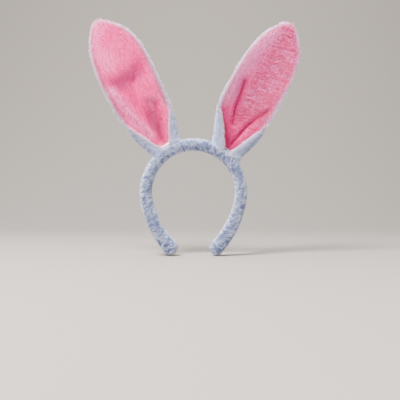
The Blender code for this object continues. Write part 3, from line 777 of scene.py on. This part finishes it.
right_ear = PlushEar(
    36.0, 28.5, 0.1790, 0.0720,
    [(0.0, 0.60), (0.11, 0.80), (0.22, 0.95), (0.36, 1.0), (0.55, 0.995), (0.67, 0.965),
     (0.78, 0.865), (0.84, 0.775), (0.88, 0.68), (0.93, 0.50), (0.95, 0.42), (0.975, 0.31),
     (0.99, 0.22), (1.0, 0.12)],
    [(0.0, 2.95), (0.06, 2.67), (0.11, 2.5), (0.20, 2.16), (0.25, 1.84), (0.30, 1.62),
     (0.36, 1.45), (0.48, 1.2), (0.60, 0.95), (0.80, 0.60), (1.0, 0.30)],
    [(0.0, 0.0090), (0.30, 0.0110), (0.45, 0.0110), (0.60, 0.0090), (0.80, 0.0055),
     (1.0, 0.0015)],
    [(0.0, 0.0006), (0.11, 0.0016), (0.28, -0.0004), (0.55, -0.0008), (0.84, -0.0004),
     (0.90, -0.0020), (1.0, -0.0022)],
    [(0.0, 0.0025), (0.06, 0.0015), (0.20, -0.0012), (0.25, -0.0026), (0.40, 0.0), (1.0, 0.0)],
    [([(-7, 30), (-13.5, 52), (-15.5, 67), (-19, 82)], 3.2, 0.0030),
     ([(3.7, 4), (9.6, 30), (17, 52), (25, 65)], 2.4, 0.0034),
     ([(9, 10), (19, 36), (28, 58)], 3.0, -0.0012)],
    [(PALE_HIGHLIGHT, [(-29, 62), (-28, 90), (-24, 130), (-12, 160)], 11.0, 0.8),
     (PALE_HIGHLIGHT, [(8, 70), (14, 100), (12, 140)], 20.0, 0.45),
     (HOT, [(-4, 8), (-9, 40), (-15, 67), (-20, 86)], 5.5, 0.7),
     (CREASE_SHADE, [(-7, 32), (-13.7, 52), (-15.3, 67), (-19, 84)], 3.0, 0.7),
     (HOT, [(4, 8), (10, 36), (19, 55), (27, 68)], 5.0, 0.7),
     (CREASE_SHADE, [(4.9, 10), (9.8, 36), (17.3, 52), (24.4, 64)], 2.8, 0.95)],
    [])
ears = {"left_ear": left_ear, "right_ear": right_ear}


def pink_pile_of(ear, name, grid, faces, seed, crinkle):
    s, across, points, x, inside = grid
    guide, normal = pile_guide(name, points, faces)
    s, x, inside = s.ravel(), x.ravel(), inside.ravel()
    crimp = crinkle * np.clip((x * 1000 + 20) / 16, 0.1, 1) * np.clip((s * 1000 - 15) / 30, 0, 1)
    for line, width, strength in ear.rough:
        crimp = np.maximum(crimp, strength * near_line(s, x, line, width))
    height, push_s, push_x = clumps(s - 0.15 * x, x, 0.0020, 0.0078, seed)
    fine, fine_s, fine_x = clumps(s, x, 0.0050, 0.0022, seed + 20)
    broad = mottle(s, x, 0.016, 0.010, seed + 30)
    rim = np.exp(-(np.clip(inside - 0.0008, 0, None) / 0.0028) ** 2)
    tall = ear.panel(s) * (1.0 + crimp * 0.28 * height + 0.06 * fine + 0.04 * broad)
    nap = (0.20 + 0.70 * (1 - crimp)) * (1 - 0.6 * rim)
    lean = (normal * (tall * (1 - 0.45 * rim))[:, None]
            + ear.rimward(s, across.ravel()) * (tall * (1.25 + 0.4 * fine) * rim)[:, None]
            + ear.up * (EAR_PILE * (nap + 0.45 * crimp * push_s + 0.12 * fine_s))[:, None]
            + ear.right * (EAR_PILE * (0.25 * crimp * push_x + 0.16 * fine_x))[:, None])
    # Painted highlights on the crests of the crinkles and the fine clumps, with painted shade, a
    # deeper pink, between them; broad adds a random tone.
    bright = 0.40 + crimp * (0.15 + 1.3 * height) + 0.22 * fine + 0.10 * broad
    bright = np.clip(bright, 0, 1.3)[:, None]
    tone = (1 - bright) * np.array([0.92, 0.012, 0.24]) + bright * np.array([0.99, 0.17, 0.54])
    # Painted shade and painted highlights along their lines.
    for colour, line, width, strength in ear.tints:
        mix = strength * near_line(s, x, line, width)[:, None] * (0.85 + 0.3 * bright)
        tone = tone * (1 - mix) + np.array(colour) * mix
    pale = 0.8 * rim[:, None]
    tone = tone * (1 - pale) + np.array([1.0, 0.48, 0.76]) * pale
    return grow_pile(name, guide, lean, tone, pink_pile, 2.5e6, 0.18, seed)


def white_pile_of(ear, name, grid, faces, seed):
    s, across, points, x, inside = grid
    guide, normal = pile_guide(name, points, faces)
    s, across, x, inside = s.ravel(), across.ravel(), x.ravel(), inside.ravel()
    arc = across * ear.section(s)[3]
    height, push_s, push_x = clumps(s, arc, 0.0021, 0.0034, seed)
    rim = np.exp(-(np.clip(inside, 0, None) / 0.0024) ** 2)
    tall = (ear.panel(s) * (0.95 + 0.16 * height) * (1 - rim)
            + RIM_PILE * rim * (0.82 + 0.40 * height))
    lean = (normal * (tall * (1 - 0.6 * rim))[:, None]
            + ear.rimward(s, across) * (tall * 0.95 * rim)[:, None]
            + ear.up * (EAR_PILE * (0.45 * (1 - rim) + 0.34 * push_s))[:, None]
            + ear.right * (EAR_PILE * 0.34 * push_x * np.cos(across))[:, None])
    # Painted shade between the clumps and painted highlights on their crests; round the rim the pile
    # turns pinkish white, partly the pale pink where the white rim meets the pink front and partly a
    # painted highlight that lifts the rim out of its shade.
    tone = plush_shade_and_highlight(0.62 + 0.7 * height)
    pale = 0.85 * rim[:, None]
    tone = tone * (1 - pale) + np.array([1.0, 0.76, 0.89]) * pale
    return grow_pile(name, guide, lean, tone, white_pile, 2.3e6, 0.34, seed)


def bend_with_ear(piece):
    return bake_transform(piece)


for number, (name, ear) in enumerate(ears.items()):
    for part, low, high in (("lower", -0.0030, SPLIT_RUN), ("upper", SPLIT_RUN, None)):
        label = name + "_" + part
        seed = 100 + 200 * number + (50 if part == "upper" else 0)
        rows = 34 if part == "lower" else 60
        pink = ear_grid(ear, low, high, rows, 41, True)
        skin = mesh_of("pink_backing_" + label, pink[2], sheet_faces(rows, 41), shaded_pink_backing)
        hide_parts("front_" + label)
        white = ear_grid(ear, low, high, rows, 45, False)
        back = mesh_of("white_backing_" + label, white[2],
                       sheet_faces(rows, white[0].shape[1], flip=True), shaded_white_backing)
        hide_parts("back_" + label)
        rows = 70 if part == "lower" else 140
        fine = ear_grid(ear, low, high, rows, 91, True)
        pink_fur = pink_pile_of(ear, "pink_pile_" + label, fine, sheet_faces(rows, 91), seed,
                                float(name == "right_ear"))
        fine = ear_grid(ear, low, high, rows, 97, False)
        white_fur = white_pile_of(ear, "white_pile_" + label, fine,
                                  sheet_faces(rows, fine[0].shape[1], flip=True), seed + 10)
        for piece in (skin, back, pink_fur, white_fur):
            bend_with_ear(piece)


# ---- Batting ----
# A thin layer of polyester batting lies between the two backings, a little short of the rim.
# It is held by the rim's seam, and gives the ear the body to stand up.

def slab(name, low, high, finish):
    """Closed pad between two equal grids of points, the low one in front."""
    rows, columns = low.shape[:2]
    count = rows * columns
    faces = sheet_faces(rows, columns) + sheet_faces(rows, columns, flip=True, first=count)
    at = np.arange(count).reshape(rows, columns)
    border = np.concatenate([at[0], at[1:, -1], at[-1, -2::-1], at[-2:0:-1, 0]])
    for a, b in zip(border, np.roll(border, -1)):
        faces.append((int(b), int(a), int(a) + count, int(b) + count))
    return mesh_of(name, [low, high], faces, finish)


for name, ear in ears.items():
    for part, low, high in (("lower", 0.0080, SPLIT_RUN - 0.0002),
                            ("upper", SPLIT_RUN + 0.0002, ear.length - 0.0110)):
        lines, t = np.linspace(low, high, 40), np.linspace(-1, 1, 25)
        s, t = np.meshgrid(lines, t, indexing="ij")
        across = t * (ear.edge(s) - 0.0045 / ear.section(s)[3])
        lump = 0.10 * mottle(s, t * 0.03, 0.006, 0.006, 71)
        pad = slab("batting_layer_" + name + "_" + part, ear.skin(s, across, -0.72 + lump)[0],
                   ear.skin(s, across, 0.72 + lump)[0], batting_finish)
        bend_with_ear(pad)
        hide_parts("batting_{}_{}".format(name, part))


# ---- Bendable wire ----
# One galvanised wire runs up inside each rim, over below the tip and down again, so that the ear
# keeps any bend it is given. It is shown in two lengths, below and above the split of the ear's
# cover.

WIRE_WIDTH = 0.0014
WIRE_INSET = 0.0022               # from the end of the backings to the wire's middle


def wire_along(name, path):
    """Round closed wire along a path of points."""
    path = np.asarray(path)
    ahead = np.gradient(path, axis=0)
    ahead /= np.linalg.norm(ahead, axis=1, keepdims=True)
    side = np.cross(ahead, np.cross(BACKWARD, ahead))
    side /= np.linalg.norm(side, axis=1, keepdims=True)
    other = np.cross(ahead, side)
    turn = np.arange(10) * math.pi / 5
    rings = (path[:, None] + WIRE_WIDTH / 2 * (side[:, None] * np.cos(turn)[None, :, None]
                                               + other[:, None] * np.sin(turn)[None, :, None]))
    count = len(path)
    faces = sheet_faces(count, 10, ring=True)
    faces += [list(range(10))[::-1], list(range(10 * count - 10, 10 * count))]
    return mesh_of(name, rings, faces, wire_finish)


def rim_path(ear, s, side):
    return ear.skin(s, side * (ear.edge(s) - WIRE_INSET / ear.section(s)[3]), 0)[0]


for name, ear in ears.items():
    outer = -1 if name == "left_ear" else 1
    rise = np.linspace(0.0010, SPLIT_RUN, 40)
    for place, side in (("outer", outer), ("inner", -outer)):
        wire = wire_along("rim_wire_{}_{}_lower".format(place, name), rim_path(ear, rise, side))
        bend_with_ear(wire)
        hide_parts("wire_{}_{}_lower".format(place, name))
    rise = np.linspace(SPLIT_RUN, ear.length * 0.92, 50)
    turn = np.linspace(-1, 1, 16)[1:-1]
    crest = rise[-1] + 0.0045 * np.sqrt(1 - turn**2)
    reach = ear.edge(rise[-1:]) - WIRE_INSET / ear.section(rise[-1:])[3]
    over = ear.skin(crest, turn * reach, 0)[0]
    path = np.concatenate([rim_path(ear, rise, -1), over, rim_path(ear, rise[::-1], 1)])
    wire = wire_along("rim_wire_" + name + "_upper", path)
    bend_with_ear(wire)
    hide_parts("wire_" + name + "_upper")


# ---- Foot of each ear ----
# The gathered lower edge of an ear is turned out in front and behind, laid on the sleeve and
# sewn down; its pile closes over the join. The wire's foot is tied on top with white thread.

HEM_HALF = 0.0190                 # half its length along the hoop
HEM_FLARE = math.radians(27)      # half its width round the sleeve

for number, (name, ear) in enumerate(ears.items()):
    for side, place in ((-1, "front"), (1, "back")):
        for kind, rows, columns in (("backing", 24, 12), ("pile", 60, 30)):
            u, v = np.meshgrid(np.linspace(-1, 1, rows), np.linspace(-1, 1, columns),
                               indexing="ij")
            runs = HOOP_RADIUS * ear.seat + HEM_HALF * u
            around = side * HEM_FLARE + HEM_FLARE * v
            raised = 0.0018 * np.sqrt(np.clip((1 - u**4) * (1 - v**4), 0, 1))
            thick, depth = skin_size(runs)
            points = round_hoop(runs, around, thick + raised, depth + raised)
            if kind == "backing":
                low = round_hoop(runs, around, thick + raised - 0.0005, depth + raised - 0.0005)
                hem = slab("hem_backing_{}_{}".format(place, name), low, points, shaded_white_backing)
                continue
            guide, normal = pile_guide("hem", points, sheet_faces(rows, columns))
            height, push_u, push_v = clumps(runs, around * SLEEVE_ROUND, 0.0024, 0.0046, 81 + number)
            height, push_u, push_v = height.ravel(), push_u.ravel(), push_v.ravel()
            outward = hoop_at(runs)[1].reshape(-1, 3)
            tall = 0.0030 * (0.92 + 0.14 * height)
            down = (BACKWARD * side - 0.4 * outward) * 0.0009
            along = np.cross(BACKWARD, outward) * 0.0010
            lean = normal * tall[:, None] + down + along * push_u[:, None]
            # The hem's pile has painted shade between its clumps and painted highlights on their
            # crests.
            pile = grow_pile("hem_pile_{}_{}".format(place, name), guide, lean,
                             plush_shade_and_highlight(0.55 + 0.9 * height), white_pile, 2.8e6, 0.22,
                             83 + 2 * number + side)
        for piece in (hem, pile):
            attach(piece, "crown")
        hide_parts("hem_{}_{}".format(place, name))
    for node, finish, material in (("wire_foot_" + name, wire_finish, "wire"),
                                   ("stitching_" + name, thread_finish, "thread")):
        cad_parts[node].data.materials.clear()
        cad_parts[node].data.materials.append(finish)

bpy.data.objects.remove(tuft)


# ---- Studio ----
# Plain pale floor and backdrop, one large soft light from above on the left and a weak one
# from the front.

pale = new_finish("pale_studio", 0.9, Base_Color=(0.40, 0.36, 0.32, 1))[0]
FLOOR = -0.1305
profile = [(-6.0, FLOOR), (0.7, FLOOR)]
profile += [(0.7 + 1.2 * math.sin(a), FLOOR + 1.2 - 1.2 * math.cos(a))
            for a in np.linspace(0, math.pi / 2, 24)[1:]]
profile += [(1.9, 4.0)]
sweep = [[(x, y, z) for y, z in profile] for x in (-6.0, 6.0)]
floor = mesh_of("studio_floor", sweep, sheet_faces(2, len(profile)), pale)


def soft_light(name, place, aim, size, power, colour):
    light = bpy.data.lights.new(name, "AREA")
    light.shape, light.size, light.energy, light.color = "SQUARE", size, power, colour
    lamp = bpy.data.objects.new(name, light)
    lamp.location = place
    lamp.rotation_euler = (Vector(aim) - Vector(place)).to_track_quat("-Z", "Y").to_euler()
    bpy.context.scene.collection.objects.link(lamp)


soft_light("window", (-0.50, -0.70, 1.10), (0, 0, 0), 0.6, 82, (1.0, 0.99, 1.0))
soft_light("room", (0.6, -1.6, 0.1), (0, 0, 0), 1.4, 18, (1.0, 0.98, 0.97))
soft_light("backdrop", (0, 0.35, 1.7), (0, 1.6, 0.1), 1.2, 24, (1.0, 1.0, 1.0))
world = bpy.data.worlds.new("studio_air")
world.use_nodes = True
world.node_tree.nodes["Background"].inputs["Color"].default_value = (0.82, 0.84, 0.9, 1)
world.node_tree.nodes["Background"].inputs["Strength"].default_value = 0.4
bpy.context.scene.world = world

lens = bpy.data.cameras.new("camera")
lens.lens, lens.sensor_width, lens.clip_start = 57.6, 36.0, 0.05
camera = bpy.data.objects.new("camera", lens)
camera.location = (0.0080, -0.8, -0.0607)
camera.rotation_euler = (math.pi / 2, 0, 0)
bpy.context.scene.collection.objects.link(camera)
bpy.context.scene.camera = camera
